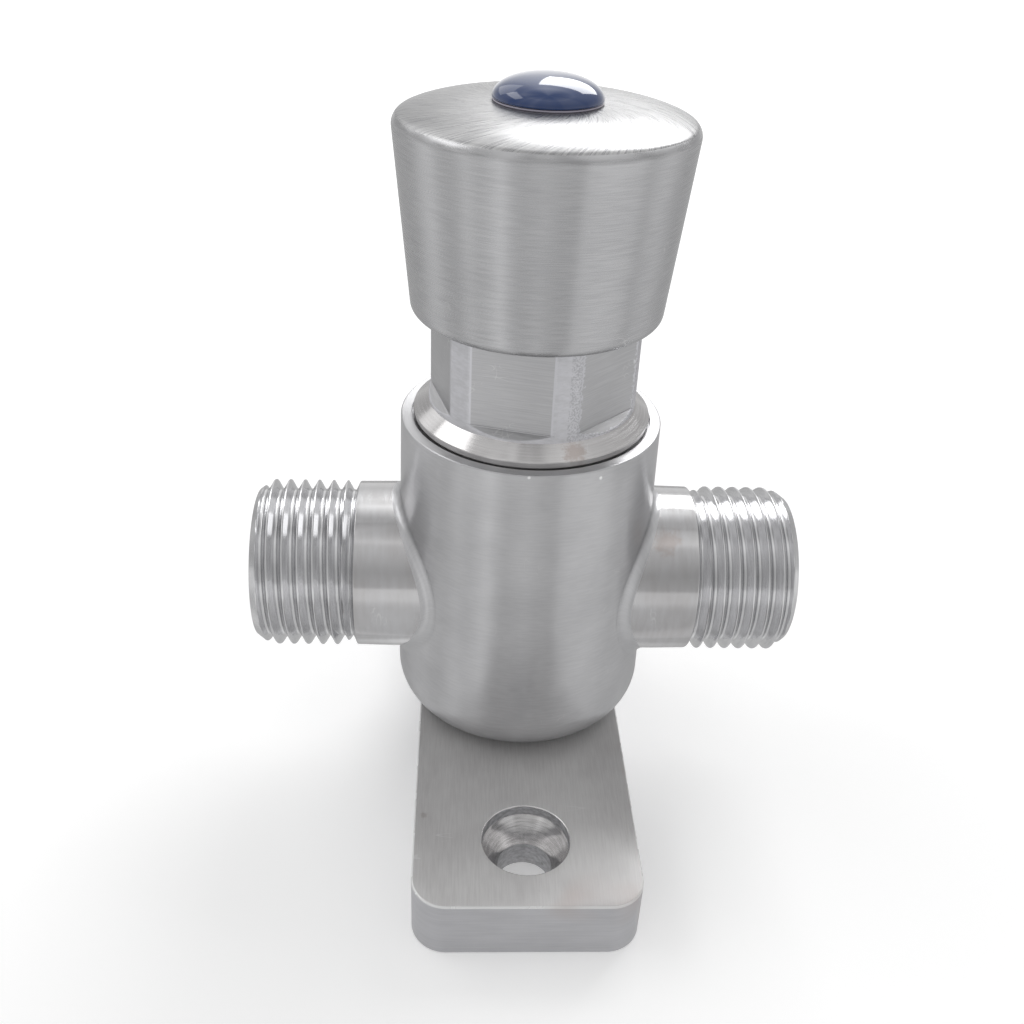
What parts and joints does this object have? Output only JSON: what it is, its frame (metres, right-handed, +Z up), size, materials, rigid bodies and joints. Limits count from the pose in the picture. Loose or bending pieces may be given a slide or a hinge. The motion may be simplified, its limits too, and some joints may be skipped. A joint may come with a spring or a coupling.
{
  "type": "knee and foot valve",
  "caption": "Stainless push valve with a foot plate: threaded inlet and outlet nipples, hexagonal bonnet and a wide sprung push cap that a knee or foot presses.",
  "frame": {"origin": "on the axis of the body, in the plane of the base plate's underside", "axes": "+Z up along the body to the push cap, +X along the port axis towards the inlet, +Y along the base plate"},
  "size_m": [0.0666, 0.077, 0.0863],
  "materials": {
    "plate_steel": "stainless plate, brushed along its length",
    "body_steel": "turned stainless, finely brushed round the axis",
    "bonnet_steel": "milled and turned stainless with light tool marks",
    "thread_steel": "bright turned stainless",
    "weld_steel": "dressed and polished weld",
    "cap_steel": "turned stainless, finely brushed round the axis",
    "screw_steel": "plain stainless fastener",
    "spring_steel": "drawn stainless wire",
    "mesh_steel": "perforated stainless sheet",
    "seat_bronze": "turned bronze",
    "spindle_steel": "ground stainless",
    "guide_plastic": "natural acetal",
    "seal_rubber": "black nitrile rubber",
    "index_blue": "deep glossy blue resin dome"
  },
  "bodies": {
    "valve": {"base_plate": "plate_steel", "base_screws": "screw_steel", "valve_body": "body_steel", "inlet_nipple": "thread_steel", "outlet_nipple": "thread_steel", "port_welds": "weld_steel", "inlet_strainer": "mesh_steel", "seat_ring": "seat_bronze", "seat_o_ring": "seal_rubber", "bonnet": "bonnet_steel", "bonnet_o_ring": "seal_rubber", "timing_sleeve": "guide_plastic", "sleeve_o_ring": "seal_rubber", "spring_seat": "screw_steel", "snap_ring": "screw_steel", "return_spring": "spring_steel", "gland_bush": "guide_plastic", "gland_o_ring": "seal_rubber", "stem_o_rings": "seal_rubber", "gland_circlip": "screw_steel", "stop_washer": "seal_rubber"},
    "plunger": {"spindle": "spindle_steel", "piston": "guide_plastic", "piston_lip_seal": "seal_rubber", "piston_clip": "screw_steel", "bleed_pin": "screw_steel", "thrust_washer": "screw_steel", "disc_cup": "screw_steel", "valve_disc": "seal_rubber", "disc_nut": "screw_steel", "cap_washer": "screw_steel", "cap_screw": "screw_steel"},
    "button": {"push_cap": "cap_steel", "index_dome": "index_blue"}
  },
  "joints": [
    {"name": "button_press", "type": "slide", "parent": "valve", "child": "plunger", "axis": [0, 0, -1], "range_m": [0, 0.007], "stiffness_N_per_m": 1500, "springref_m": -0.006, "deforming": ["return_spring"]},
    {"name": "button_spin", "type": "hinge", "parent": "plunger", "child": "button", "pos_m": [0, 0, 0.0776], "axis": [0, 0, 1], "continuous": true}
  ]
}
